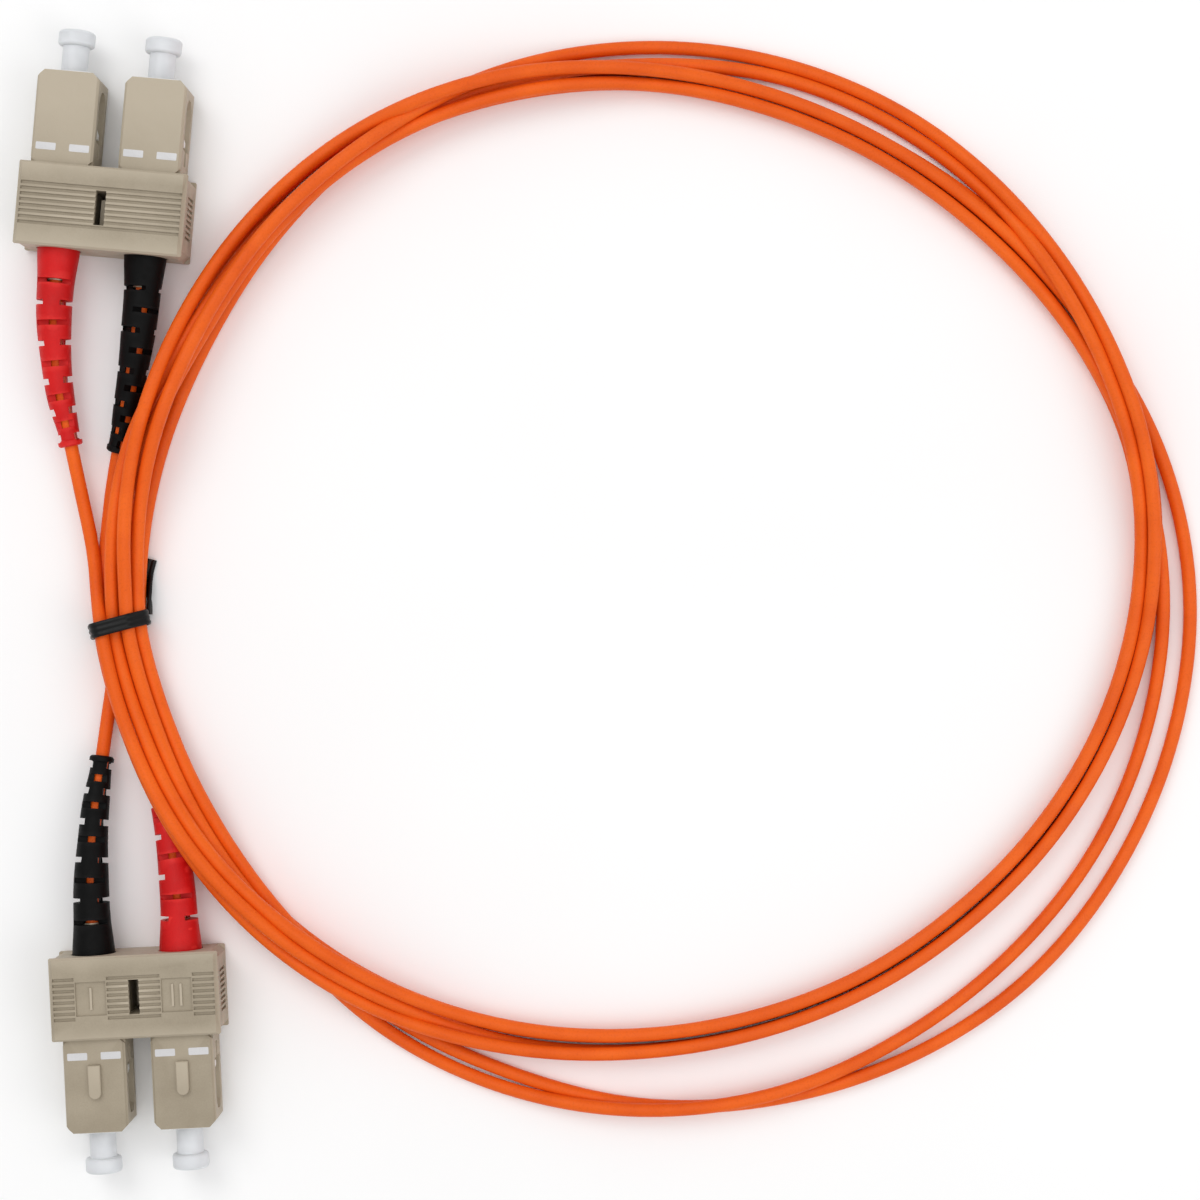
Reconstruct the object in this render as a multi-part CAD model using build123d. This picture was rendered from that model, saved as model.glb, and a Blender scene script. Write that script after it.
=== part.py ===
from build123d import *
import math
import os

# A duplex fibre optic patch cord in millimetres: two separate 2 mm cords, wound three
# times round and tied, with a pair of push-pull connectors clipped together at each end.
# The origin is on the table, under the middle of the box round the connectors. +Z is up.

# Connector pair. Each connector is built round the Y axis, with y = 0 at the front face
# of its grip and +Y towards the ferrule tip.
PITCH = 12.7
AXIS_Z = 4.8
GRIP_W = 9.0
GRIP_T = 7.4
GRIP_REAR = -22.4
GRIP_CORNER = 1.0
GRIP_EDGE = 0.35
CHANNEL_W = 7.2
CHANNEL_T = 6.1
KEY_W = 1.8
KEY_H = 0.75
KEY_FRONT = -4.9
KEY_REAR = -9.8
KEY_EDGE = 0.12
# Half the outline of the opening in each side of the grip, as (y, z), rear to front.
GRIP_WINDOW = ((-11.9, -0.7), (-9.7, -0.7), (-9.7, -2.2), (-4.2, -2.2), (-3.2, -1.9), (-2.2, -0.9))
# The nicks in the corners of the wide faces, in front of the clip.
NICK = 0.8
NICK_DEPTH = 0.6

# Plug frame, the white inner body that the grip slides on.
FRAME_W = 7.0
FRAME_T = 5.9
FRAME_FRONT = 0.35
FRAME_REAR = -18.0
FRAME_EDGE = 0.7
CAP_BAY_R = 2.2
SEAT_Y = -6.5
SEAT_R = 1.5
CHAMBER_Y = -7.05
CHAMBER_R = 2.45
LATCH_W = 3.0
LATCH_H = 0.6
LATCH_Y = (-8.9, -8.2, -6.6)

# Ferrule, flange, fibre and the spring behind them.
FERRULE_R = 1.25
FERRULE_TIP = 2.4
FERRULE_REAR = -8.1
FERRULE_EDGE = 0.35
FLANGE_R = 2.2
FLANGE_FRONT = -7.1
FLANGE_REAR = -10.1
FLANGE_TAIL = -11.6
FLANGE_TAIL_R = 1.2
FLANGE_BORE_R = 0.52
FLANGE_NOTCH = (1.75, 1.6, 0.8)
BUFFER_R = 0.45
GLASS_R = 0.0625
GLASS_PLAY = 0.0025
FIBRE_END = -24.2
BUFFER_FRONT = FERRULE_REAR + 0.45
SPRING_R = 1.85
SPRING_WIRE_R = 0.25
SPRING_TURNS = 6
SPRING_REAR = -15.5

# Back post, aramid yarn and crimp ring.
POST_R = 1.6
POST_REAR = -25.6
POST_BORE_R = 0.65
COLLAR_R = 2.9
COLLAR_REAR = -20.0
ARAMID_R = 1.78
CRIMP_R = 2.15
CRIMP_NECK_R = 1.4
CRIMP_FRONT = -20.5
CRIMP_STEP = -26.0
CRIMP_REAR = -30.0

# The gap left between pieces that fit closely, and how far a cut passes a face.
FIT = 0.02
PAST = 1.0

# Cord and boot.
CORD_D = 2.0
JACKET_START = -26.4
BOOT_FRONT = -20.5
BOOT_TIP = -54.3
BOOT_BORE_R = 1.15
BOOT_BENDS = (-35.0, -44.7)
BOOT_FRONT_R = 2.8
BOOT_STEP = -24.8
BOOT_PROFILE = (
    (-24.8, 3.05), (-26.5, 3.03), (-30.0, 2.72), (-33.1, 2.62), (-38.9, 2.38), (-44.3, 2.10),
    (-48.9, 1.87), (-53.4, 1.62),
)
COLLAR_TIP_R = 1.78
COLLAR_TIP_L = 1.1
COLLAR_TIP_EDGE = 0.25
SLOT_LEVELS = (4.7, 7.8, 10.7, 13.6, 16.6, 19.1, 21.5, 23.6, 25.5, 27.5)
SLOT_WIDTHS = (0.7, 1.1)
SLOT_SPAN = 0.8
SLOT_FLOOR = 1.0
SLOT_CUT = 4.0

# Dust cap.
CAP_TUBE_R = 1.925
CAP_BORE_R = 1.3
CAP_REAR = -4.5
CAP_BORE_END = 3.0
KNOB_R = 2.65
KNOB_REAR = 4.15
KNOB_FRONT = 6.4
KNOB_EDGE = 0.5
CAP_BORE_CONE = 0.4

# Duplex clip, in two halves that meet at the connectors' mid height.
CLIP_W = 24.4
CLIP_T = 9.6
CLIP_FRONT = -13.5
CLIP_REAR = -25.5
CLIP_EDGE = 0.3
CLIP_SIDE_EDGE = 0.55
CLIP_CORNER = 0.9
CLIP_LID = 1.0
LID_CORNER = 0.15
SEAM_EDGE = 0.12
SEAM_GAP = 0.01
CLIP_WALL_Y = -22.45
BOOT_HOLE_R = 3.25
CLIP_SLOT_W = 1.5
CLIP_SLOT_L = 5.0
CLIP_SLOT_INSIDE_W = 2.2
CLIP_SLOT_SKIN = 1.1
RIB_COUNT = 7
RIB_PITCH = 0.82
RIB_GROOVE = 0.46
RIB_DEPTH = 0.3
SIDE_RIB_TOP = 2.3
PANEL_X = 6.2
PANEL_W = 4.4
PANEL_L = 4.9
PANEL_GAP = 0.15
MARK_W = 0.32
MARK_L = 3.2
MARK_H = 0.25
MARK_APART = 1.2
PIN_R = 0.5
PIN_H = 1.4
PIN_INSET = (1.7, 1.8)
CATCH_W = 0.7
CATCH_Z = (-2.0, -0.3)
CATCH_FRONT = 1.5
CLIP_MID_Y = (CLIP_FRONT + CLIP_REAR) / 2

# Where each end lies: the place of the pair's axis at y = 0, its heading, and whether it
# lies with its keys down. Each connector has a place across the pair, how far its boot
# turns to the side, how far it droops, and how far the boot is turned on the cord.
ENDS = {
    "1": {"at": (-0.672, 76.145), "heading": 85.0, "keys_down": True},
    "2": {"at": (3.488, -76.455), "heading": 272.8, "keys_down": False},
}
CONNECTORS = {
    "red_1": {"end": "1", "across": -PITCH / 2, "turn": 16.0, "droop": 6.0, "roll": 0.0},
    "black_1": {"end": "1", "across": PITCH / 2, "turn": -7.8, "droop": 10.0, "roll": 45.0},
    "red_2": {"end": "2", "across": -PITCH / 2, "turn": 13.2, "droop": 11.4, "roll": 90.0},
    "black_2": {"end": "2", "across": PITCH / 2, "turn": -9.0, "droop": 8.0, "roll": 0.0},
}
# The run beyond each boot's tip, then the route's free points, to where it joins the coil.
LEADS = {
    "red_1": (6.0, ((-4.46, 7.28, 2.3), (-4.06, 0.88, 2.0))),
    "black_1": (3.6, ((-2.16, 12.08, 1.9),)),
    "red_2": (3.0, ((0.74, -12.52, 1.7),)),
    "black_2": (4.6, ((-1.76, -10.52, 1.6), (-1.06, -4.72, 1.6))),
}

# Coil: the outline of all its turns, at every 30 degrees from the right, counter-clockwise.
COIL_CENTRE = (75.64, 1.68)
COIL_OUTER = (81.6, 78.8, 80.7, 80.5, 80.1, 79.1, 79.7, 77.7, 75.6, 77.5, 80.1, 82.0)
COIL_INNER = (72.1, 73.0, 71.5, 73.3, 74.8, 72.3, 72.4, 70.1, 68.0, 64.3, 64.3, 67.3)
COIL_H = 4.6
COIL_EDGE = 1.2
BOOT_ROOM = 0.3
TIE_AT = (-0.06, -3.22)
TIE_TURN = 15.0
TIE_L = 9.8
TIE_W = 2.2
TIE_T = 0.6
TIE_PLAY = 0.06


def block(x, y, z):
    """A box between two values along each axis."""
    size = (x[1] - x[0], y[1] - y[0], z[1] - z[0])
    middle = ((x[0] + x[1]) / 2, (y[0] + y[1]) / 2, (z[0] + z[1]) / 2)
    return Pos(*middle) * Box(*size)


def rod(radius, y):
    """A round bar along Y between two values."""
    return Pos(0, (y[0] + y[1]) / 2, 0) * Rot(90, 0, 0) * Cylinder(radius, abs(y[1] - y[0]))


def turned(profile):
    """A solid turned round the Y axis from a list of (radius, y) corners."""
    face = make_face(Polyline(*[(radius, y, 0) for radius, y in profile], close=True))
    return revolve(face, Axis.Y, 360)


def grip():
    """The beige outer body that slides on the plug frame."""
    body = block((-GRIP_W / 2, GRIP_W / 2), (GRIP_REAR, 0), (-GRIP_T / 2, GRIP_T / 2))
    body = chamfer(body.edges().filter_by(Axis.Z).group_by(Axis.Y)[-1], GRIP_CORNER)
    body = chamfer(body.edges().filter_by(Axis.Y), GRIP_EDGE)
    body -= block((-CHANNEL_W / 2, CHANNEL_W / 2), (GRIP_REAR - PAST, PAST), (-CHANNEL_T / 2, CHANNEL_T / 2))
    outline = [*GRIP_WINDOW, *[(y, -z) for y, z in reversed(GRIP_WINDOW)]]
    window = make_face(Polyline(*[(0, y, z) for y, z in outline], close=True))
    body -= extrude(window, GRIP_W, dir=(1, 0, 0), both=True)
    for side in (-1, 1):
        x = side * GRIP_W / 2
        corner = Polyline((x, CLIP_FRONT), (x, CLIP_FRONT + NICK), (x - side * NICK, CLIP_FRONT), close=True)
        cut = extrude(make_face(corner), PAST, dir=(0, 0, 1))
        body -= Pos(0, 0, GRIP_T / 2 - NICK_DEPTH) * cut
        body -= Pos(0, 0, NICK_DEPTH - GRIP_T / 2 - PAST) * cut
    key = Pos(0, (KEY_FRONT + KEY_REAR) / 2, 0) * Rectangle(KEY_W, KEY_FRONT - KEY_REAR)
    key = fillet(key.vertices().group_by(Axis.Y)[-1], KEY_W / 2 - FIT)
    root = (GRIP_T - CHANNEL_T) / 4
    key_solid = Pos(0, 0, GRIP_T / 2 - root) * extrude(key, KEY_H + root, dir=(0, 0, 1))
    key_solid = chamfer(key_solid.faces().sort_by(Axis.Z)[-1].edges(), KEY_EDGE)
    return body + key_solid


def plug_frame():
    """The white inner body with the bay for the cap and the chamber for the spring."""
    body = block((-FRAME_W / 2, FRAME_W / 2), (FRAME_REAR, FRAME_FRONT), (-FRAME_T / 2, FRAME_T / 2))
    body = chamfer(body.faces().sort_by(Axis.Y)[-1].edges(), FRAME_EDGE)
    back, crest, foot = LATCH_Y
    for side in (-1, 1):
        x = side * FRAME_W / 2
        high = x + side * LATCH_H
        ramp = Polyline((x, back), (high, back), (high, crest), (x, foot), close=True)
        body += Pos(0, 0, -LATCH_W / 2) * extrude(make_face(ramp), LATCH_W, dir=(0, 0, 1))
    body -= rod(CAP_BAY_R, (SEAT_Y, FRAME_FRONT + PAST))
    body -= rod(SEAT_R, (CHAMBER_Y - FIT, SEAT_Y + FIT))
    body -= rod(CHAMBER_R, (FRAME_REAR - PAST, CHAMBER_Y))
    return body


def ferrule():
    """The white ceramic ferrule."""
    body = rod(FERRULE_R, (FERRULE_REAR, FERRULE_TIP))
    body = chamfer(body.edges().sort_by(Axis.Y)[-1], FERRULE_EDGE)
    body -= rod(GLASS_R + GLASS_PLAY, (FERRULE_REAR - PAST, FERRULE_TIP + PAST))
    return body - rod(BUFFER_R + FIT, (FERRULE_REAR - PAST, BUFFER_FRONT + FIT))


def ferrule_flange():
    """The metal collar that holds the ferrule and takes the spring."""
    body = turned((
        (FLANGE_BORE_R, FLANGE_TAIL), (FLANGE_TAIL_R, FLANGE_TAIL), (FLANGE_TAIL_R, FLANGE_REAR),
        (FLANGE_R, FLANGE_REAR), (FLANGE_R, FLANGE_FRONT), (FERRULE_R, FLANGE_FRONT),
        (FERRULE_R, FERRULE_REAR), (FLANGE_BORE_R, FERRULE_REAR),
    ))
    floor, length, width = FLANGE_NOTCH
    for angle in (0, 90, 180, 270):
        ends = (FLANGE_FRONT - length, FLANGE_FRONT + PAST)
        notch = block((floor, FLANGE_R + PAST), ends, (-width / 2, width / 2))
        body -= Rot(0, angle, 0) * notch
    return body


def fibre():
    """The glass in the ferrule and the buffered fibre behind it, as one turned piece."""
    return turned((
        (0, FERRULE_TIP), (GLASS_R, FERRULE_TIP), (GLASS_R, BUFFER_FRONT), (BUFFER_R, BUFFER_FRONT),
        (BUFFER_R, FIBRE_END), (0, FIBRE_END),
    ))


def spring():
    """The helical spring that pushes the ferrule forwards."""
    length = FLANGE_REAR - SPRING_REAR - 2 * SPRING_WIRE_R
    coil_path = Helix(length / SPRING_TURNS, length, SPRING_R)
    section = Plane(coil_path @ 0, z_dir=coil_path % 0) * Circle(SPRING_WIRE_R)
    wire = sweep(section, coil_path, is_frenet=True)
    return Pos(0, FLANGE_REAR - SPRING_WIRE_R, 0) * Rot(90, 0, 0) * wire


def back_post():
    """The metal post behind the spring, with the collar that closes the plug frame."""
    plug_r = CHAMBER_R - FIT
    return turned((
        (POST_BORE_R, SPRING_REAR), (plug_r, SPRING_REAR), (plug_r, FRAME_REAR), (COLLAR_R, FRAME_REAR),
        (COLLAR_R, COLLAR_REAR), (POST_R, COLLAR_REAR), (POST_R, POST_REAR), (POST_BORE_R, POST_REAR),
    ))


def aramid_sleeve():
    """The yarn, laid over the post and held by the crimp ring."""
    front = CRIMP_FRONT - 0.3
    return rod(ARAMID_R, (POST_REAR, front)) - rod(POST_R + FIT, (POST_REAR - PAST, front + PAST))


def crimp_ring():
    """The metal ring that holds the yarn on the post and the jacket behind it."""
    bore_r = ARAMID_R + FIT
    neck_r = CORD_D / 2 + FIT
    taper = (CRIMP_STEP - 0.3, CRIMP_STEP - 1.0)
    return turned((
        (bore_r, CRIMP_FRONT), (CRIMP_R, CRIMP_FRONT), (CRIMP_R, taper[0]), (CRIMP_NECK_R, taper[1]),
        (CRIMP_NECK_R, CRIMP_REAR), (neck_r, CRIMP_REAR), (neck_r, CRIMP_STEP), (bore_r, CRIMP_STEP),
    ))


def dust_cap():
    """The clear cap over the ferrule, with a knob to pull it by."""
    body = turned((
        (0, CAP_BORE_END), (CAP_BORE_R, CAP_BORE_END - CAP_BORE_CONE),
        (CAP_BORE_R, CAP_REAR), (CAP_TUBE_R, CAP_REAR),
        (CAP_TUBE_R, KNOB_REAR), (KNOB_R, KNOB_REAR), (KNOB_R, KNOB_FRONT), (0, KNOB_FRONT),
    ))
    rims = [edge for edge in body.edges().filter_by(GeomType.CIRCLE) if abs(edge.radius - KNOB_R) < FIT]
    return fillet(rims, KNOB_EDGE)


def rib_grooves(x, z):
    """The grooves between the ribs, as boxes about the middle of the clip."""
    grooves = []
    for index in range(RIB_COUNT + 1):
        y = CLIP_MID_Y + (index - RIB_COUNT / 2) * RIB_PITCH
        grooves.append(block(x, (y - RIB_GROOVE / 2, y + RIB_GROOVE / 2), z))
    return grooves


def clip_half(keys_side):
    """Half of the duplex clip. The half on the keys' side has the two marked panels."""
    top = CLIP_T / 2
    outline = ((-CLIP_W / 2, CLIP_W / 2), (CLIP_REAR, CLIP_FRONT))
    body = block(*outline, (-top, top - CLIP_LID))
    body = chamfer(body.edges().filter_by(Axis.Z), CLIP_CORNER)
    lid = block(*outline, (top - CLIP_LID, top))
    body += chamfer(lid.edges().filter_by(Axis.Z), LID_CORNER)
    rim = body.faces().sort_by(Axis.Z)[-1].edges()
    body = chamfer(rim.filter_by(Axis.Y), CLIP_SIDE_EDGE)
    body = chamfer(body.faces().sort_by(Axis.Z)[-1].edges().filter_by(Axis.X), CLIP_EDGE)
    body = body & block((-CLIP_W, CLIP_W), (CLIP_REAR - PAST, CLIP_FRONT + PAST), (SEAM_GAP, top))
    body = chamfer(body.faces().sort_by(Axis.Z)[0].edges(), SEAM_EDGE)
    half_slot = CLIP_SLOT_L / 2
    slot_y = (CLIP_MID_Y - half_slot, CLIP_MID_Y + half_slot)
    cuts = [block((-CLIP_SLOT_W / 2, CLIP_SLOT_W / 2), slot_y, (-PAST, top + PAST))]
    inside = (-CLIP_SLOT_INSIDE_W / 2, CLIP_SLOT_INSIDE_W / 2)
    cuts.append(block(inside, slot_y, (-PAST, top - CLIP_SLOT_SKIN)))
    half_w = GRIP_W / 2 + FIT
    half_t = GRIP_T / 2 + FIT
    for side in (-1, 1):
        x = side * PITCH / 2
        cuts.append(block((x - half_w, x + half_w), (CLIP_WALL_Y, CLIP_FRONT + PAST), (-PAST, half_t)))
        cuts.append(Pos(x, 0, 0) * rod(BOOT_HOLE_R, (CLIP_REAR - PAST, CLIP_WALL_Y + PAST)))
        ends = sorted((side * (CLIP_W / 2 - RIB_DEPTH), side * (CLIP_W / 2 + PAST)))
        cuts += rib_grooves(ends, (-PAST, SIDE_RIB_TOP))
    face = (top - RIB_DEPTH, top + PAST)
    rib_end = CLIP_W / 2 - CLIP_SIDE_EDGE
    if keys_side:
        inner = PANEL_X - PANEL_W / 2 - PANEL_GAP
        outer = PANEL_X + PANEL_W / 2 + PANEL_GAP
        for ends in ((-rib_end, -outer), (-inner, inner), (outer, rib_end)):
            cuts += rib_grooves(ends, face)
        for side in (-1, 1):
            panel_x = (side * PANEL_X - PANEL_W / 2, side * PANEL_X + PANEL_W / 2)
            cuts.append(block(panel_x, (CLIP_MID_Y - PANEL_L / 2, CLIP_MID_Y + PANEL_L / 2), face))
    else:
        cuts += rib_grooves((-rib_end, rib_end), face)
    body -= cuts
    if keys_side:
        marks = (PANEL_X, -PANEL_X - MARK_APART / 2, -PANEL_X + MARK_APART / 2)
        mark_y = (CLIP_MID_Y - MARK_L / 2, CLIP_MID_Y + MARK_L / 2)
        mark_z = (top - RIB_DEPTH - MARK_H, top - RIB_DEPTH + MARK_H)
        for x in marks:
            body += block((x - MARK_W / 2, x + MARK_W / 2), mark_y, mark_z)
    return body


def clip_halves():
    """The upper half, on the keys' side, and the lower half with its two pins and its catch."""
    upper = clip_half(True)
    lower = mirror(clip_half(False), Plane.XY)
    for y in (CLIP_FRONT - PIN_INSET[0], CLIP_REAR + PIN_INSET[1]):
        upper -= Pos(0, y, 0) * Cylinder(PIN_R + FIT, 2 * (PIN_H + FIT))
        lower += Pos(0, y, 0) * Cylinder(PIN_R, 2 * PIN_H)
    catch_y = (CLIP_MID_Y - CLIP_SLOT_L / 2 - FIT, CLIP_MID_Y + CATCH_FRONT)
    lower += block((-CATCH_W / 2, CATCH_W / 2), catch_y, CATCH_Z)
    return upper, lower


def end_place(end):
    """Where a connector pair lies on the table."""
    spec = ENDS[end]
    lie = Rot(0, 0, spec["heading"] - 90)
    place = Pos(*spec["at"], AXIS_Z) * lie
    if spec["keys_down"]:
        place = place * Rot(0, 180, 0)
    return place


def connector_place(name):
    """Where one connector lies, as its own axis at its grip's front."""
    spec = CONNECTORS[name]
    side = -1 if ENDS[spec["end"]]["keys_down"] else 1
    return end_place(spec["end"]) * Pos(side * spec["across"], 0, 0)


def on_axis(name, y):
    """The point of a connector's axis at a distance along it."""
    return (connector_place(name) * Pos(0, y, 0)).position


def heading(azimuth, droop):
    """A unit vector at an angle round Z, pointing down by the droop."""
    flat = math.cos(math.radians(droop))
    x = flat * math.cos(math.radians(azimuth))
    y = flat * math.sin(math.radians(azimuth))
    return Vector(x, y, -math.sin(math.radians(droop)))


def boot_corners(name):
    """The two points where a boot turns, its tip, and its heading there."""
    spec = CONNECTORS[name]
    back = ENDS[spec["end"]]["heading"] + 180
    first = on_axis(name, BOOT_BENDS[0])
    middle = heading(back + spec["turn"] / 2, spec["droop"] / 2)
    second = first + middle * (BOOT_BENDS[0] - BOOT_BENDS[1])
    last = heading(back + spec["turn"], spec["droop"])
    return first, second, second + last * (BOOT_BENDS[1] - BOOT_TIP), last


def corner_radii(points):
    """For each corner, 0.45 of its shorter run over the tangent of half its turn."""
    radii = []
    for before, corner, after in zip(points, points[1:], points[2:]):
        run_in = corner - before
        run_out = after - corner
        half_turn = math.radians(run_in.get_angle(run_out) / 2)
        radii.append(0.45 * min(run_in.length, run_out.length) / math.tan(half_turn))
    return radii


def lead_route(name):
    """The route of a cord's end, from inside its crimp ring to inside the coil."""
    beyond, free = LEADS[name]
    first, second, tip, last = boot_corners(name)
    return [on_axis(name, JACKET_START), first, second, tip + last * beyond, *map(Vector, free)]


def tube(points, radii, radius):
    """A round tube along straight runs joined by arcs."""
    path = FilletPolyline(*points, radius=radii)
    section = Plane(path @ 0, z_dir=path % 0) * Circle(radius)
    return path, sweep(section, path)


def boot_plane(name, y):
    """The plane square across a boot's bent axis, at a distance along it."""
    first, second, tip, last = boot_corners(name)
    radii = corner_radii(lead_route(name))[:2]
    path = FilletPolyline(on_axis(name, BOOT_FRONT), first, second, tip + last * 2, radius=radii)
    spot = path.position_at(BOOT_FRONT - y, PositionMode.LENGTH)
    along = path.tangent_at(BOOT_FRONT - y, PositionMode.LENGTH)
    return Plane(spot, x_dir=along.cross(Vector(0, 0, 1)), z_dir=along)


def boot(name):
    """A tapered strain relief, bent as it lies, with slots cut in turn across it."""
    first, second, tip, last = boot_corners(name)
    radii = corner_radii(lead_route(name))[:2]
    body = loft([boot_plane(name, y) * Circle(radius) for y, radius in BOOT_PROFILE])
    collar = Cylinder(COLLAR_TIP_R, COLLAR_TIP_L)
    collar = chamfer(collar.edges().filter_by(GeomType.CIRCLE), COLLAR_TIP_EDGE)
    body += boot_plane(name, BOOT_TIP + COLLAR_TIP_L / 2) * collar
    body += connector_place(name) * rod(BOOT_FRONT_R, (BOOT_STEP, BOOT_FRONT))
    cuts = []
    for index, level in enumerate(SLOT_LEVELS):
        y = CLIP_REAR - level
        share = index / (len(SLOT_LEVELS) - 1)
        width = SLOT_WIDTHS[0] + share * (SLOT_WIDTHS[1] - SLOT_WIDTHS[0])
        radius = BOOT_PROFILE[0][1] + share * (BOOT_PROFILE[-1][1] - BOOT_PROFILE[0][1])
        turned_plane = boot_plane(name, y) * Rot(0, 0, CONNECTORS[name]["roll"] + 90 * (index % 2))
        for side in (-1, 1):
            middle = side * (SLOT_FLOOR + SLOT_CUT / 2)
            cuts.append(turned_plane * Pos(0, middle, 0) * Box(2 * SLOT_SPAN * radius, SLOT_CUT, width))
    crimp_room = (CRIMP_STEP - 0.9, BOOT_FRONT + PAST)
    cuts.append(connector_place(name) * rod(CRIMP_R + 4 * FIT, crimp_room))
    cuts.append(connector_place(name) * rod(CRIMP_NECK_R + 5 * FIT, (CRIMP_REAR - 0.3, CRIMP_STEP)))
    cuts.append(tube([on_axis(name, CRIMP_REAR), first, second, tip + last], radii, BOOT_BORE_R)[1])
    return body - cuts


def lead(name):
    """The stretch of cord from a connector to the coil."""
    route = lead_route(name)
    radii = corner_radii(route)
    path, solid = tube(route, radii, CORD_D / 2)
    expected = math.pi * CORD_D ** 2 / 4 * path.length
    rounded = ", ".join(f"{radius:.1f}" for radius in radii)
    print(f"lead {name}: radii {rounded}; length {path.length:.1f}; volume {solid.volume / expected:.4f}")
    return solid


def coil(leads):
    """One solid of the outer shape of all the turns, with room for boots, leads and tie."""
    outlines = []
    for radii in (COIL_OUTER, COIL_INNER):
        points = []
        for index, radius in enumerate(radii):
            angle = 2 * math.pi * index / len(radii)
            x = COIL_CENTRE[0] + radius * math.cos(angle)
            y = COIL_CENTRE[1] + radius * math.sin(angle)
            points.append((x, y))
        outlines.append(make_face(Spline(*points, periodic=True)))
    body = extrude(outlines[0] - outlines[1], COIL_H)
    body = chamfer(body.edges().filter_by(GeomType.BSPLINE), COIL_EDGE)
    notch = Box(TIE_L, TIE_W + 2 * TIE_PLAY, 4)
    body -= Pos(*TIE_AT, TIE_T + 2 * TIE_PLAY - 2) * Rot(0, 0, TIE_TURN) * notch
    for name in CONNECTORS:
        room = [(y, radius + BOOT_ROOM) for y, radius in BOOT_PROFILE[2:]]
        room.append((BOOT_TIP - BOOT_ROOM, COLLAR_TIP_R + BOOT_ROOM))
        body -= loft([boot_plane(name, y) * Circle(radius) for y, radius in room])
    return body - leads


def tie():
    """A flat plastic-covered wire tie, closed round the turns."""
    height = COIL_H + 2 * (TIE_T + TIE_PLAY) + TIE_PLAY
    outer = fillet(Box(TIE_L, TIE_W, height).edges().filter_by(Axis.Y), 0.9)
    inner = Box(TIE_L - 2 * TIE_T, TIE_W + 2, height - 2 * TIE_T)
    inner = fillet(inner.edges().filter_by(Axis.Y), 0.4)
    loop = outer - inner
    return Pos(*TIE_AT, TIE_PLAY / 2 + height / 2) * Rot(0, 0, TIE_TURN) * loop


pieces = {
    "grip": grip(),
    "plug_frame": plug_frame(),
    "ferrule": ferrule(),
    "ferrule_flange": ferrule_flange(),
    "fibre": fibre(),
    "spring": spring(),
    "back_post": back_post(),
    "aramid_sleeve": aramid_sleeve(),
    "crimp_ring": crimp_ring(),
    "dust_cap": dust_cap(),
}
nodes = {}
for name in CONNECTORS:
    for piece, solid in pieces.items():
        nodes[f"{name}_{piece}"] = connector_place(name) * solid
    nodes[f"{name}_boot"] = boot(name)
    nodes[f"cord_lead_{name}"] = lead(name)
for end in ENDS:
    upper_half, lower_half = clip_halves()
    nodes[f"clip_{end}_upper"] = end_place(end) * upper_half
    nodes[f"clip_{end}_lower"] = end_place(end) * lower_half
nodes["cord_coil"] = coil([nodes[f"cord_lead_{name}"] for name in CONNECTORS])
nodes["cord_tie"] = tie()

os.makedirs("parts", exist_ok=True)
for node, solid in nodes.items():
    export_step(solid, f"parts/{node}.step")
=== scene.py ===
import math

import bmesh
import bpy
from mathutils import Matrix, Vector


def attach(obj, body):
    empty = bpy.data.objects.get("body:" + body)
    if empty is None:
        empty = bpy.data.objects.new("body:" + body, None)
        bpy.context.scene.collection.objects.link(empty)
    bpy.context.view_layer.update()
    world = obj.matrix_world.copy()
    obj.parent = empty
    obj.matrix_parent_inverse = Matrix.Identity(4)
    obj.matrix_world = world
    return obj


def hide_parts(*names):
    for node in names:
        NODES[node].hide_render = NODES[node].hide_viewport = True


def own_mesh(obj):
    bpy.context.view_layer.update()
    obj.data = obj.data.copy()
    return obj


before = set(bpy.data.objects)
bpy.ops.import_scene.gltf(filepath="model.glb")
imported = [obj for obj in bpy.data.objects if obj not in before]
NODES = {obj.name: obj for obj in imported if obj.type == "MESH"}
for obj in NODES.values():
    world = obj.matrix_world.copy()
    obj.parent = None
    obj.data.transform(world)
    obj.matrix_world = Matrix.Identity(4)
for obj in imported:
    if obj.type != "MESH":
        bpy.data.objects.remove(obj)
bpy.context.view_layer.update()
MM = 0.001

# ---------------------------------------------------------------- camera
# Straight above the middle of the picture, 400 mm up. Everything here is in mm until it is
# made, and an angle round the coil runs counter-clockwise from +X.
CAMERA_AT = (69.74, 0.22)
CAMERA_H = 400.0
CAMERA_LENS = 81.27
CAMERA_SENSOR = 36.0
MIDDLE = (CAMERA_AT[0] * MM, CAMERA_AT[1] * MM, 0.0)

# ---------------------------------------------------------------- the cords
# Three turns of each cord, seen from above. A row gives, at each station round the coil, how
# far each turn lies outside the line of the innermost one. The turns are numbered 1 to 6 and
# the red-booted cord runs through 6, 5 and 2, the black-booted one through 1, 3 and 4. The
# radii hold for a strand that stands at SEEN_H. STEPS places lie from a station to the next.
CORD_D = 2.0
COIL_CENTRE = (75.64, 1.68)
SEEN_H = 3.0
STEPS = 3
STATIONS = (184, 195, 210, 225, 240, 255, 270, 285, 300, 315, 330, 345, 360, 375, 390, 405,
            420, 435, 450, 465, 480, 495, 510, 525, 540)
INNERMOST = (73.3, 72.0, 71.2, 70.7, 68.7, 66.75, 65.3, 64.8, 65.4, 66.2, 68.2, 70.7, 73.05,
             74.8, 73.8, 73.4, 72.5, 73.0, 74.2, 75.1, 75.4, 73.9, 72.6, 73.1, 73.4)
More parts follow.
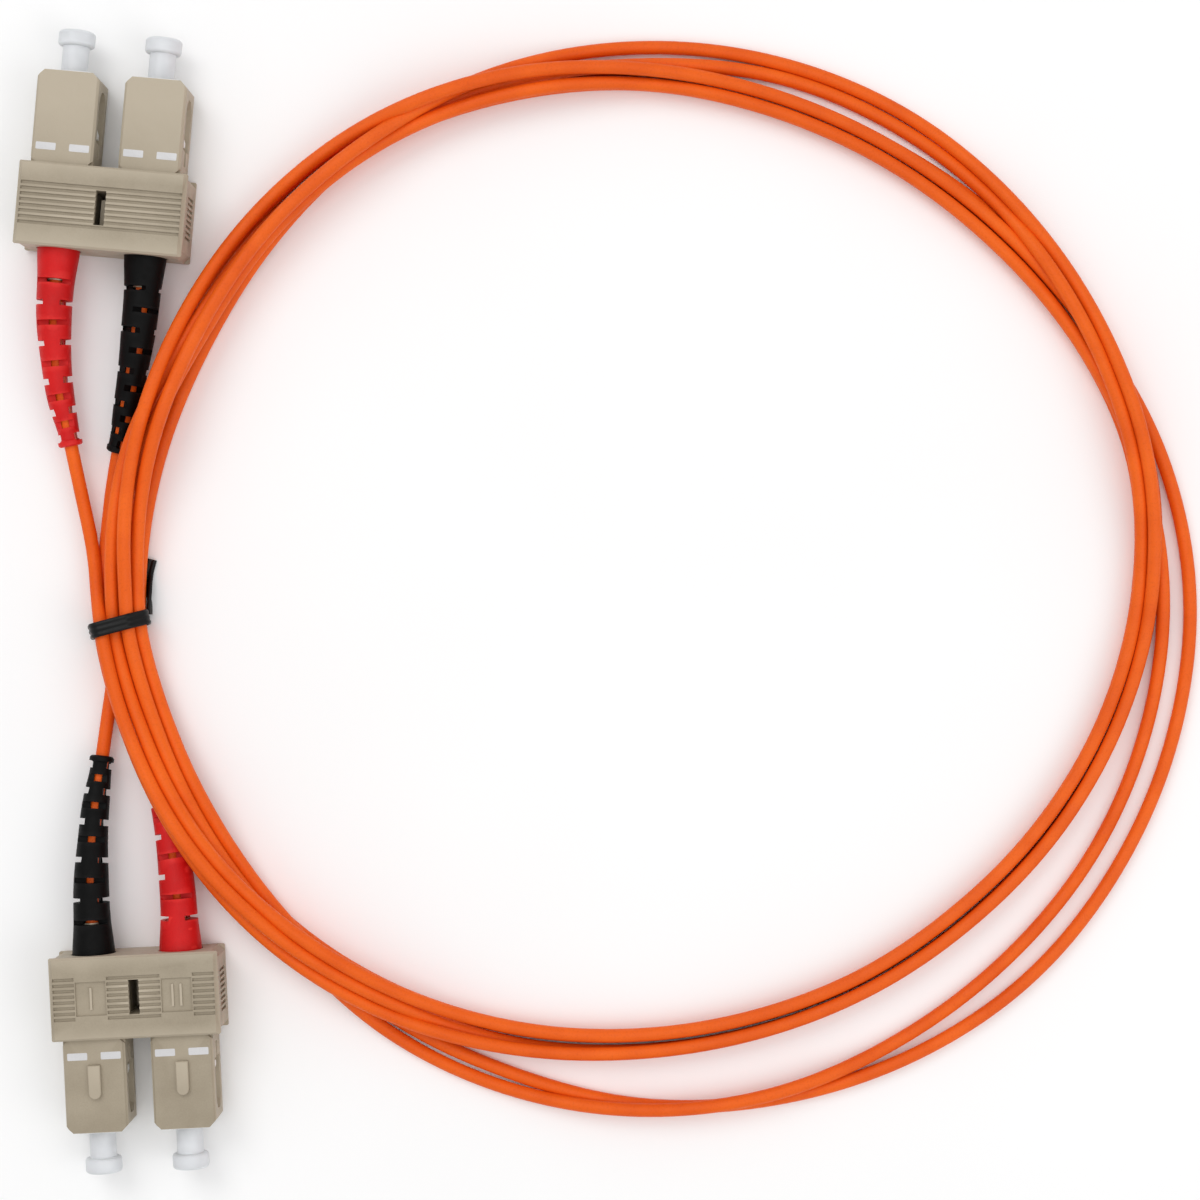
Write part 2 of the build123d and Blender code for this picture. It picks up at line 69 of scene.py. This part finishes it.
OUTWARD = {
    1: (6.15, 6.1, 5.5, 4.1, 3.6, 2.93, 2.5, 2.35, 2.13, 2.35, 2.35, 2.15, 2.05,
        2.13, 4.03, 5.42, 7.25, 6.89, 5.35, 3.66, 1.83, 2.35, 2.57, 1.61, 0.3),
    2: (4.1, 3.95, 3.15, 0.73, 0.0, -0.1, -0.07, -0.07, -0.2, -0.05, 0.05, 0.0, 0.07,
        0.15, 2.05, 3.6, 5.13, 4.9, 2.78, 1.83, 1.17, 0.88, 0.66, 0.07, 0.07),
    3: (0.3, 0.07, -0.15, 0.44, 3.6, 6.52, 10.2, 12.4, 13.63, 14.36, 12.75, 10.33, 7.55,
        4.03, 2.42, 1.54, 2.13, 2.13, 2.27, 3.08, 3.74, 5.06, 5.5, 4.03, 2.13),
    4: (2.13, 1.9, 1.76, 2.05, 5.8, 8.87, 11.0, 11.7, 10.7, 10.04, 8.6, 6.23, 3.66,
        0.73, 0.15, -0.66, 0.0, 0.0, 0.07, 0.22, 0.44, 1.47, 1.76, 2.78, 4.1),
    5: (2.2, 2.8, 1.47, 0.15, 0.0, 0.0, 0.0, 0.0, 0.0, 0.0, 0.0, 0.0, 0.0, 0.0, 0.15, -0.44,
        0.0, 0.0, 0.0, 0.0, 0.73, 2.64, 3.6, 4.98, 4.18),
    6: (6.0, 6.0, 5.05, 2.64, 1.76, 2.17, 2.2, 2.2, 2.13, 2.13, 2.13, 2.13, 2.13, 2.13, 2.2, 2.05,
        2.13, 2.13, 2.13, 2.35, 3.5, 4.54, 4.54, 3.5, 2.13),
}
# From each angle on, the turns from the lowest to the highest where they cross.
STACKED = ((184, "513426"), (221, "534162"), (245, "563421"), (345, "564321"), (442, "562413"),
           (477, "652413"), (508, "264513"))
# A cord is stiff, so a place may lie half of DIP below the mean of its two neighbours. The
# heights are worked out again SETTLING times, each time from what the last one gave. Within
# OWN_STATIONS of an end, a turn does not rest on that end, because it runs into it.
DIP = 0.6
SETTLING = 40
OWN_STATIONS = 3
# Each cord's ends, from inside the connector to the coil: x, y, z and the radius there of
# the boot or the cord.
LEADS = {
    "red_1": ((-9.3, 50.4, 4.8, 3.0), (-10.05, 41.83, 4.8, 2.5), (-9.54, 32.16, 4.29, 2.1),
              (-6.58, 16.93, 2.66, 1.0), (-4.46, 7.28, 2.6, 1.0), (-3.95, 0.88, 3.0, 1.0)),
    "black_1": ((3.35, 49.29, 4.8, 3.0), (2.6, 40.72, 4.8, 2.5), (1.11, 31.18, 3.95, 2.1),
                (-1.77, 18.5, 1.66, 1.1), (-2.6, 12.08, 1.2, 1.0), (-3.3, 4.5, 1.6, 1.0)),
    "red_2": ((8.54, -49.78, 4.8, 3.0), (8.12, -41.19, 4.8, 2.5), (6.54, -31.66, 3.84, 2.1),
              (3.14, -19.79, 1.35, 1.1), (1.9, -12.52, 1.1, 1.0), (2.0, -6.5, 1.8, 1.0)),
    "black_2": ((-4.14, -50.4, 4.8, 3.0), (-4.56, -41.81, 4.8, 2.5), (-4.28, -32.13, 4.12, 2.1),
                (-2.76, -18.16, 1.9, 1.1), (-1.76, -10.52, 1.2, 1.0), (-1.06, -4.72, 1.82, 1.0)),
}
# The end that lies on top of the turns, so that no turn rests on it.
ON_TOP = "red_1"
# The tie's middle, how far it is turned in degrees, half its thickness, and how far its lower
# run lifts the turns. Its tail, from the tie to its cut end: x, y, z and how far it leans over
# from standing on its edge, in degrees.
TIE_AT = (-0.06, -3.22)
TIE_TURN = 15.0
TIE_HALF = 0.3
TIE_RISE = 0.76
TAIL = ((3.45, -1.9, 1.16, 0.0), (3.45, -1.0, 1.16, 0.0), (3.42, 0.2, 1.17, 8.0),
        (3.2, 1.6, 1.12, 35.0), (2.85, 3.0, 0.72, 68.0), (2.85, 4.4, 0.46, 85.0),
        (3.3, 6.3, 0.4, 89.0))
# Flat things that the turns lie on: two ends, how near they lift a cord, and how high.
LAID = (((-5.0, -4.5), (4.5, -2.0), 5.0, TIE_RISE), ((2.6, 3.0), (3.1, 6.3), 4.0, 0.75))
CORDS = {"red": ("red_1", (6, 5, 2), "red_2"), "black": ("black_1", (1, 3, 4), "black_2")}


def between(values, place):
    """A smooth value between a row's entries, at a place that counts them from 0."""
    low = min(int(place), len(values) - 2)
    share = place - low
    here, ahead = values[low], values[low + 1]
    behind = values[low - 1] if low else 2 * here - ahead
    beyond = values[low + 2] if low + 2 < len(values) else 2 * ahead - here
    slope_in = (ahead - behind) / 2
    slope_out = (beyond - here) / 2
    rise = ahead - here
    return here + share * (slope_in + share * (3 * rise - 2 * slope_in - slope_out
                                               + share * (slope_in + slope_out - 2 * rise)))


def angle_at(place):
    """The angle round the coil at a place that counts the stations from 0."""
    low = min(int(place), len(STATIONS) - 2)
    return STATIONS[low] + (STATIONS[low + 1] - STATIONS[low]) * (place - low)


PLACES = [step / STEPS for step in range((len(STATIONS) - 1) * STEPS + 1)]
ANGLES = [angle_at(place) for place in PLACES]
SEEN = {turn: [between(INNERMOST, place) + between(row, place) for place in PLACES]
        for turn, row in OUTWARD.items()}


def nearer(z):
    """How much nearer the middle a thing is than it looks, when it stands at z."""
    return (CAMERA_H - z) / (CAMERA_H - SEEN_H)


def spot(turn, index, z):
    """Where a turn is at one of its places, when its height there is z."""
    angle = math.radians(ANGLES[index])
    x = COIL_CENTRE[0] + SEEN[turn][index] * math.cos(angle)
    y = COIL_CENTRE[1] + SEEN[turn][index] * math.sin(angle)
    return tuple(c + (v - c) * nearer(z) for c, v in zip(CAMERA_AT, (x, y)))


def along(x, y, start, end):
    """Where a place is along a line, from 0 to 1, and how far it is from it."""
    dx, dy = end[0] - start[0], end[1] - start[1]
    share = ((x - start[0]) * dx + (y - start[1]) * dy) / (dx * dx + dy * dy)
    share = min(max(share, 0.0), 1.0)
    return share, math.hypot(x - start[0] - dx * share, y - start[1] - dy * share)


def above_leads(x, y, own):
    """The least height of a cord's middle at a place, over the tie, the boots and the ends."""
    height = CORD_D / 2
    for start, end, near, rise in LAID:
        if along(x, y, start, end)[1] < near:
            height = CORD_D / 2 + rise
    for name, points in LEADS.items():
        if name in (own, ON_TOP):
            continue
        for start, end in zip(points, points[1:]):
            share, apart = along(x, y, start, end)
            reach = start[3] + (end[3] - start[3]) * share + CORD_D / 2
            if apart < reach:
                z = start[2] + (end[2] - start[2]) * share
                height = max(height, z + math.sqrt(reach ** 2 - apart ** 2))
    return height


def stacked(angle):
    """The turns at an angle, from the lowest to the highest."""
    order = [row for start, row in STACKED if start <= angle][-1]
    return [int(turn) for turn in order]


def own_end(turn, index):
    """The cord's end that a turn runs into there, if it is near one."""
    near = OWN_STATIONS * STEPS
    for first, turns, last in CORDS.values():
        if turn == turns[0] and index < near:
            return first
        if turn == turns[-1] and index > len(PLACES) - near:
            return last
    return None


def settle():
    """The height of every turn at every place: on the table, or on what lies under it."""
    count = len(PLACES)
    heights = {turn: [CORD_D / 2] * count for turn in OUTWARD}
    for _ in range(SETTLING):
        for index, angle in enumerate(ANGLES):
            under = []
            for turn in stacked(angle):
                z = heights[turn][index]
                z = max(z, above_leads(*spot(turn, index, z), own_end(turn, index)))
                radius = SEEN[turn][index] * nearer(z)
                for other in under:
                    other_z = heights[other][index]
                    apart = abs(radius - SEEN[other][index] * nearer(other_z))
                    if apart < CORD_D:
                        z = max(z, other_z + math.sqrt(CORD_D ** 2 - apart ** 2))
                heights[turn][index] = z
                under.append(turn)
        for _, turns, _ in CORDS.values():
            line = [(turn, index) for turn in turns for index in range(count)]
            for (a, i), (b, j), (c, k) in zip(line, line[1:], line[2:]):
                least = (heights[a][i] + heights[c][k] - DIP) / 2
                heights[b][j] = max(heights[b][j], least)
    return heights


HEIGHTS = settle()


def cord_points(name):
    """A cord's middle line in mm, from inside one connector to inside the other."""
    first, turns, last = CORDS[name]
    points = [point[:3] for point in LEADS[first]]
    for turn in turns:
        for index in range(len(PLACES)):
            z = HEIGHTS[turn][index]
            points.append((*spot(turn, index, z), z))
    return points + [point[:3] for point in reversed(LEADS[last])]


def link(name, data):
    made = bpy.data.objects.new(name, data)
    bpy.context.scene.collection.objects.link(made)
    return made


def make_cord(name):
    curve = bpy.data.curves.new(f"cord_{name}", "CURVE")
    curve.dimensions = "3D"
    points = cord_points(name)
    spline = curve.splines.new("NURBS")
    spline.points.add(len(points) - 1)
    for point, (x, y, z) in zip(spline.points, points):
        point.co = (x * MM, y * MM, z * MM, 1.0)
    spline.order_u = 3
    spline.use_endpoint_u = True
    curve.resolution_u = 4
    curve.bevel_depth = CORD_D / 2 * MM
    curve.bevel_resolution = 6
    curve.use_fill_caps = True
    return link(f"cord_{name}", curve)


# ---------------------------------------------------------------- materials
def linear(red, green, blue):
    """A colour given as 0 to 255, as the shader wants it."""
    parts = []
    for part in (red, green, blue):
        part /= 255
        parts.append(part / 12.92 if part <= 0.04045 else ((part + 0.055) / 1.055) ** 2.4)
    return (*parts, 1.0)


class Finish:
    """A material whose colour, roughness and relief come from noise in the object's space."""

    def __init__(self, name, **fixed):
        self.material = bpy.data.materials.new(name)
        self.material.use_nodes = True
        self.tree = self.material.node_tree
        self.tree.nodes.clear()
        self.shader = self.add("ShaderNodeBsdfPrincipled")
        output = self.add("ShaderNodeOutputMaterial")
        self.join(self.shader.outputs["BSDF"], output.inputs["Surface"])
        for socket, value in fixed.items():
            self.shader.inputs[socket.replace("_", " ")].default_value = value
        self.place = self.add("ShaderNodeTexCoord").outputs["Object"]

    def add(self, kind, **settings):
        node = self.tree.nodes.new(kind)
        for key, value in settings.items():
            setattr(node, key, value)
        return node

    def join(self, source, target):
        self.tree.links.new(source, target)

    def noise(self, size, detail=2.0, stretch=(1, 1, 1), rough=0.5):
        """Noise with features of about a size in mm, as a value from 0 to 1."""
        mapping = self.add("ShaderNodeMapping")
        self.join(self.place, mapping.inputs["Vector"])
        mapping.inputs["Scale"].default_value = stretch
        node = self.add("ShaderNodeTexNoise")
        self.join(mapping.outputs["Vector"], node.inputs["Vector"])
        node.inputs["Scale"].default_value = 1 / (size * MM)
        node.inputs["Detail"].default_value = detail
        node.inputs["Roughness"].default_value = rough
        return node.outputs["Fac"]

    def ramp(self, source, *stops):
        """Colours by value: each stop is (value, colour)."""
        node = self.add("ShaderNodeValToRGB")
        self.join(source, node.inputs["Fac"])
        elements = node.color_ramp.elements
        while len(elements) < len(stops):
            elements.new(0.5)
        for element, (value, colour) in zip(elements, stops):
            element.position = value
            element.color = colour
        return node.outputs["Color"]

    def span(self, source, low, high, start=0.3, end=0.7):
        """A value that runs from low to high while the source runs from start to end."""
        node = self.add("ShaderNodeMapRange")
        self.join(source, node.inputs["Value"])
        limits = {"From Min": start, "From Max": end, "To Min": low, "To Max": high}
        for socket, value in limits.items():
            node.inputs[socket].default_value = value
        return node.outputs["Result"]

    def mix(self, factor, first, second, blend="MIX"):
        node = self.add("ShaderNodeMix", data_type="RGBA", blend_type=blend)
        factor_in, first_in, second_in = (node.inputs[number] for number in (0, 6, 7))
        for value, socket in ((factor, factor_in), (first, first_in), (second, second_in)):
            if hasattr(value, "is_linked"):
                self.join(value, socket)
            else:
                socket.default_value = value
        return node.outputs[2]

    def paint(self, colour):
        self.join(colour, self.shader.inputs["Base Color"])

    def roughen(self, value):
        self.join(value, self.shader.inputs["Roughness"])

    def relief(self, *layers):
        """Bumps laid on each other: each is (height, depth in mm)."""
        last = None
        for height, depth in layers:
            node = self.add("ShaderNodeBump")
            node.inputs["Distance"].default_value = depth * MM
            self.join(height, node.inputs["Height"])
            if last:
                self.join(last, node.inputs["Normal"])
            last = node.outputs["Normal"]
        self.join(last, self.shader.inputs["Normal"])

    def edges(self, low=0.52, high=0.6):
        """1 on outer edges, 0 elsewhere: the mask where moulded finishes paint a highlight."""
        sharp = self.add("ShaderNodeNewGeometry").outputs["Pointiness"]
        return self.span(sharp, 0.0, 1.0, low, high)


def moulded(name, dark, light, edge_highlight, rough, grain=0.035, depth=0.012, **fixed):
    """Moulded plastic or rubber: mottled colour, spark-eroded grain and a painted highlight on
    outer edges.
    """
    finish = Finish(name, **fixed)
    mottle = finish.ramp(finish.noise(6.0, 4.0), (0.35, linear(*dark)), (0.68, linear(*light)))
    speck = finish.ramp(finish.noise(0.25, 3.0), (0.3, (0.9, 0.9, 0.9, 1)), (0.6, (1, 1, 1, 1)))
    body = finish.mix(0.6, mottle, speck, "MULTIPLY")
    # Outer edges are painted in the lighter third colour: a painted highlight.
    finish.paint(finish.mix(finish.edges(), body, linear(*edge_highlight)))
    finish.roughen(finish.span(finish.noise(1.2, 3.0), *rough))
    finish.relief((finish.noise(0.16, 3.0, rough=0.6), grain), (finish.noise(1.6, 2.0), depth))
    return finish.material


def jacket():
    """The orange outer jacket: extruded, satin, with faint flow marks and handling."""
    finish = Finish("orange_jacket", Specular_IOR_Level=0.22)
    base = finish.ramp(finish.noise(9.0, 3.0),
                       (0.35, linear(228, 90, 14)), (0.68, linear(240, 102, 20)))
    speck = finish.ramp(finish.noise(0.3, 3.0),
                        (0.28, (0.88, 0.82, 0.78, 1)), (0.5, (1, 1, 1, 1)))
    finish.paint(finish.mix(0.7, base, speck, "MULTIPLY"))
    finish.roughen(finish.span(finish.noise(1.5, 3.0), 0.42, 0.6))
    finish.relief((finish.noise(0.3, 3.0), 0.02), (finish.noise(2.5, 2.0), 0.02))
    return finish.material


def clear_cap():
    """The dust caps' soft translucent plastic."""
    finish = Finish("clear_cap", Transmission_Weight=0.3, IOR=1.49, Coat_Weight=0.15,
                    Coat_Roughness=0.2)
    finish.paint(finish.ramp(finish.noise(2.5, 3.0),
                             (0.3, linear(236, 238, 241)), (0.7, linear(244, 246, 249))))
    finish.roughen(finish.span(finish.noise(0.9, 3.0), 0.36, 0.52))
    finish.relief((finish.noise(0.3, 2.0), 0.003), (finish.noise(1.8, 2.0), 0.008))
    return finish.material


def metal(name, dark, light, rough):
    """Plated or drawn metal, with a fine grain."""
    finish = Finish(name, Metallic=1.0)
    finish.paint(finish.ramp(finish.noise(0.8, 4.0), (0.3, linear(*dark)), (0.7, linear(*light))))
    finish.roughen(finish.span(finish.noise(0.5, 4.0), *rough))
    finish.relief((finish.noise(0.12, 3.0), 0.008))
    return finish.material


def yarn():
    """The strength yarn round the fibre: fine strands that run along the cord."""
    finish = Finish("aramid_yarn", Sheen_Weight=0.4, Sheen_Roughness=0.4)
    strands = finish.noise(0.12, 2.0, (1, 0.12, 1))
    finish.paint(finish.ramp(strands, (0.3, linear(176, 134, 40)), (0.7, linear(236, 204, 92))))
    finish.roughen(finish.span(strands, 0.5, 0.8))
    finish.relief((strands, 0.08))
    return finish.material


# The third colour of each finish is the painted highlight on its outer edges.
BEIGE = moulded("beige_plastic", (157, 145, 125), (168, 156, 136), (184, 172, 152), (0.45, 0.6),
                Specular_IOR_Level=0.35)
WHITE = moulded("white_plastic", (216, 216, 213), (230, 230, 228), (238, 238, 236), (0.38, 0.52))
CERAMIC = moulded("white_ceramic", (232, 231, 226), (244, 243, 240), (250, 250, 248),
                  (0.12, 0.22), 0.004, 0.002)
RED = moulded("red_boot", (196, 10, 12), (212, 17, 18), (222, 40, 36), (0.42, 0.58), 0.03, 0.02,
              Specular_IOR_Level=0.25)
BLACK = moulded("black_boot", (3, 3, 3), (6, 6, 6), (15, 14, 14), (0.45, 0.6), 0.03, 0.02,
                Specular_IOR_Level=0.12)
TIE_BLACK = moulded("black_tie", (7, 7, 7), (13, 12, 12), (26, 25, 24), (0.34, 0.46), 0.02, 0.02,
                    Specular_IOR_Level=0.22)
PAINT = moulded("white_paint", (200, 199, 200), (212, 211, 212), (222, 221, 222), (0.45, 0.6),
                0.02, 0.01, Specular_IOR_Level=0.3)
FIBRE = moulded("glass_fibre", (226, 230, 230), (244, 247, 248), (250, 250, 250),
                (0.15, 0.25), 0.004, 0.002)
NICKEL = metal("nickel", (150, 146, 138), (206, 203, 196), (0.22, 0.38))
STEEL = metal("spring_steel", (120, 120, 122), (188, 189, 192), (0.25, 0.4))
CRIMP = metal("crimp_brass", (150, 142, 124), (206, 198, 178), (0.28, 0.45))
ORANGE = jacket()
CAP = clear_cap()
YARN = yarn()
# A connector's nodes are called by its boot's colour, its end and one of these.
FINISHES = {
    "grip": BEIGE, "plug_frame": WHITE, "ferrule": CERAMIC, "ferrule_flange": NICKEL,
    "fibre": FIBRE, "spring": STEEL, "back_post": NICKEL, "aramid_sleeve": YARN,
    "crimp_ring": CRIMP, "dust_cap": CAP,
}
for node, made in NODES.items():
    if node.startswith("clip"):
        material = BEIGE
    elif node.endswith("boot"):
        material = RED if node.startswith("red") else BLACK
    elif node.startswith("cord"):
        material = TIE_BLACK if node == "cord_tie" else ORANGE
    else:
        material = FINISHES[node.split("_", 2)[2]]
    made.data.materials.clear()
    made.data.materials.append(material)

# ---------------------------------------------------------------- make the cords
cords = {name: make_cord(name) for name in CORDS}
for name, cord in cords.items():
    cord.data.materials.append(ORANGE)
    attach(cord, "cords")
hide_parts("cord_coil", "cord_lead_red_1", "cord_lead_red_2")
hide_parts("cord_coil", "cord_lead_black_1", "cord_lead_black_2")


def join_rings(build, rings, closed=False):
    """Faces from each ring of vertices to the next, and over both ends unless it is closed."""
    pairs = list(zip(rings, rings[1:]))
    if closed:
        pairs.append((rings[-1], rings[0]))
    else:
        build.faces.new(rings[0])
        build.faces.new(rings[-1])
    for ring, ahead in pairs:
        for index in range(len(ring)):
            after = (index + 1) % len(ring)
            build.faces.new((ring[index], ring[after], ahead[after], ahead[index]))


def solid(name, build, material):
    """An object from a bmesh, with its faces turned outwards."""
    bmesh.ops.recalc_face_normals(build, faces=build.faces)
    mesh = bpy.data.meshes.new(name)
    build.to_mesh(mesh)
    build.free()
    mesh.materials.append(material)
    return link(name, mesh)


# ---------------------------------------------------------------- make the tie
# The tie's section across its width: two wings with a rib on each, and the wire's rib.
TIE_SIDE = ((-1.1, 0.1), (-1.04, 0.2), (-0.9, 0.27), (-0.74, 0.3), (-0.58, 0.26), (-0.42, 0.2),
            (-0.28, 0.22), (-0.14, 0.29), (0.0, 0.31), (0.14, 0.29), (0.28, 0.22), (0.42, 0.2),
            (0.58, 0.26), (0.74, 0.3), (0.9, 0.27), (1.04, 0.2), (1.1, 0.1))
TIE_SECTION = TIE_SIDE + tuple((wide, -high) for wide, high in reversed(TIE_SIDE))
# How far from the tie's middle a strand may cross its plane, the room between the tie and the
# strands, the sections round the loop, those from a point of the tail to the next, and the
# angle in degrees from which an edge shows.
TIE_REACH = 9.0
TIE_GAP = 0.03
LOOP_STEPS = 48
TAIL_STEPS = 4
TIE_EDGE = 50.0


def skin(name, rings, closed=False):
    """The tie's smooth surface through rings of points, which all have the same number."""
    build = bmesh.new()
    join_rings(build, [[build.verts.new(point * MM) for point in ring] for ring in rings], closed)
    made = solid(name, build, TIE_BLACK)
    made.data.shade_smooth()
    crease = made.modifiers.new("edges", "EDGE_SPLIT")
    crease.split_angle = math.radians(TIE_EDGE)
    return made


def ring_of(middle, across, out):
    """The tie's section at a place, with its width along across and its face turned to out."""
    return [middle + across * wide + out * high for wide, high in TIE_SECTION]


def make_loop():
    """The tie, drawn tight round the turns where they cross its plane."""
    turn = math.radians(TIE_TURN)
    line = Vector((math.cos(turn), math.sin(turn), 0))
    across = Vector((-math.sin(turn), math.cos(turn), 0))
    middle = Vector((*TIE_AT, 0))
    crossings = []
    for name in CORDS:
        points = [Vector(point) - middle for point in cord_points(name)]
        for here, ahead in zip(points, points[1:]):
            before, after = here.dot(across), ahead.dot(across)
            if before * after < 0 and abs(here.dot(line)) < TIE_REACH:
                crossings.append(here.lerp(ahead, before / (before - after)))
    gap = CORD_D / 2 + TIE_HALF + TIE_GAP
    rings = []
    for step in range(LOOP_STEPS):
        angle = 2 * math.pi * step / LOOP_STEPS
        out = line * math.cos(angle) + Vector((0, 0, math.sin(angle)))
        outermost = max(crossings, key=lambda place: place.dot(out))
        centre = middle + outermost - across * outermost.dot(across) + out * gap
        rings.append(ring_of(centre, across, out))
    return skin("cord_tie_loop", rings, closed=True)


def make_tail():
    """The tie's tail, which turns over from its edge to lie flat on the table."""
    rows = list(zip(*TAIL))
    places = []
    for step in range((len(TAIL) - 1) * TAIL_STEPS + 1):
        x, y, z, lean = (between(row, step / TAIL_STEPS) for row in rows)
        places.append((Vector((x, y, z)), math.radians(lean)))
    rings = []
    for index, (place, lean) in enumerate(places):
        behind = places[max(index - 1, 0)][0]
        beyond = places[min(index + 1, len(places) - 1)][0]
        ahead = (beyond - behind).normalized()
        flat = ahead.cross(Vector((0, 0, 1))).normalized()
        up = flat.cross(ahead)
        rings.append(ring_of(place, up * math.cos(lean) + flat * math.sin(lean),
                             flat * math.cos(lean) - up * math.sin(lean)))
    return skin("cord_tie_tail", rings)


# ---------------------------------------------------------------- make the marks and springs
# Each connector's grip: its front's middle, and its heading in degrees.
GRIP_Z = 4.8
GRIP_HALF = 3.7
GRIPS = {
    "red_1": (-7.0, 76.7, 85.0), "black_1": (5.65, 75.59, 85.0),
    "red_2": (9.83, -76.14, 272.8), "black_2": (-2.85, -76.77, 272.8),
}
# The white bars on a grip: length and width, the middle of one from the grip's front, the
# corners' radius, and each level of a bar's height with how far its outline is drawn in there.
MARK = (2.9, 1.05)
MARK_AT = (2.425, -11.075)
MARK_CORNER = 0.16
MARK_LEVELS = ((-0.02, 0.0), (0.018, 0.0), (0.03, 0.04))
CORNER_STEPS = 4


def mark_ring(side, face, height, inset):
    """A bar's outline on one side and one wide face of a grip, at a height off that face."""
    reach = MARK_CORNER - inset
    ring = []
    for corner, (sx, sy) in enumerate(((1, 1), (-1, 1), (-1, -1), (1, -1))):
        x = side * MARK_AT[0] + sx * (MARK[0] / 2 - MARK_CORNER)
        y = MARK_AT[1] + sy * (MARK[1] / 2 - MARK_CORNER)
        for step in range(CORNER_STEPS + 1):
            angle = math.radians(90 * (corner + step / CORNER_STEPS))
            ring.append(Vector((x + reach * math.cos(angle), y + reach * math.sin(angle),
                                face * (GRIP_HALF + height))))
    return ring


def make_marks(name):
    """The four white bars printed on a grip, two on each wide face."""
    x, y, heading = GRIPS[name]
    turn = Matrix.Rotation(math.radians(heading - 90), 4, "Z")
    place = Matrix.Translation((x, y, GRIP_Z)) @ turn
    build = bmesh.new()
    for side in (-1, 1):
        for face in (-1, 1):
            join_rings(build, [[build.verts.new(place @ point * MM)
                                for point in mark_ring(side, face, height, inset)]
                               for height, inset in MARK_LEVELS])
    marks = solid(f"{name}_marks", build, PAINT)
    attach(marks, f"coupler_{name[-1]}")


def make_spring(name):
    """A spring as an object of its own, on its own copy of the mesh."""
    node = f"{name}_spring"
    coil = link(f"{node}_coil", NODES[node].data.copy())
    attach(coil, "cords")
    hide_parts(node)
    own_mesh(coil)


for name in GRIPS:
    make_marks(name)
    make_spring(name)
tie_pieces = (make_loop(), make_tail())
for piece in tie_pieces:
    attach(piece, "cords")
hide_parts("cord_tie")

# ---------------------------------------------------------------- stage
camera_data = bpy.data.cameras.new("camera")
camera_data.lens = CAMERA_LENS
camera_data.sensor_width = CAMERA_SENSOR
camera_data.clip_start = 0.01
camera_data.clip_end = 5.0
camera = link("camera", camera_data)
camera.location = (MIDDLE[0], MIDDLE[1], CAMERA_H * MM)
bpy.context.scene.camera = camera


# The floor's half side, and how far it lies below what stands on it so that they don't meet.
FLOOR_HALF = 1.5
FLOOR_DROP = 0.00002
# Each light: how far it stands from the middle of the picture in x, its y and z in m, how wide
# it is in m and its power in W.
LIGHTS = {
    "key": ((-0.35, 0.45, 0.75), 0.55, 1.9),
    "fill": ((0.55, -0.25, 0.65), 0.6, 1.3),
    "top": ((0.0, 0.0, 1.1), 0.8, 1.7),
}
WORLD_STRENGTH = 0.65


def make_floor():
    """A wide white floor."""
    finish = Finish("floor_white", Specular_IOR_Level=0.2)
    finish.paint(finish.ramp(finish.noise(60.0, 2.0),
                             (0.3, linear(250, 250, 250)), (0.7, linear(252, 252, 252))))
    finish.shader.inputs["Roughness"].default_value = 0.8
    mesh = bpy.data.meshes.new("floor")
    corners = [(x * FLOOR_HALF, y * FLOOR_HALF, 0) for x, y in ((-1, -1), (1, -1), (1, 1), (-1, 1))]
    mesh.from_pydata(corners, [], [(0, 1, 2, 3)])
    mesh.materials.append(finish.material)
    floor = link("floor", mesh)
    floor.location = (MIDDLE[0], MIDDLE[1], -FLOOR_DROP)


def area_light(name, at, size, power):
    """A round light that points at the middle of the picture."""
    light = bpy.data.lights.new(name, "AREA")
    light.shape = "DISK"
    light.size = size
    light.energy = power
    made = link(name, light)
    made.location = at
    made.rotation_euler = (Vector(MIDDLE) - Vector(at)).to_track_quat("-Z", "Y").to_euler()


make_floor()
for name, ((x, y, z), size, power) in LIGHTS.items():
    area_light(name, (MIDDLE[0] + x, y, z), size, power)
world = bpy.data.worlds.new("world")
world.use_nodes = True
sky = world.node_tree.nodes["Background"]
sky.inputs["Color"].default_value = (1, 1, 1, 1)
sky.inputs["Strength"].default_value = WORLD_STRENGTH
bpy.context.scene.world = world
bpy.context.scene.view_settings.view_transform = "Standard"
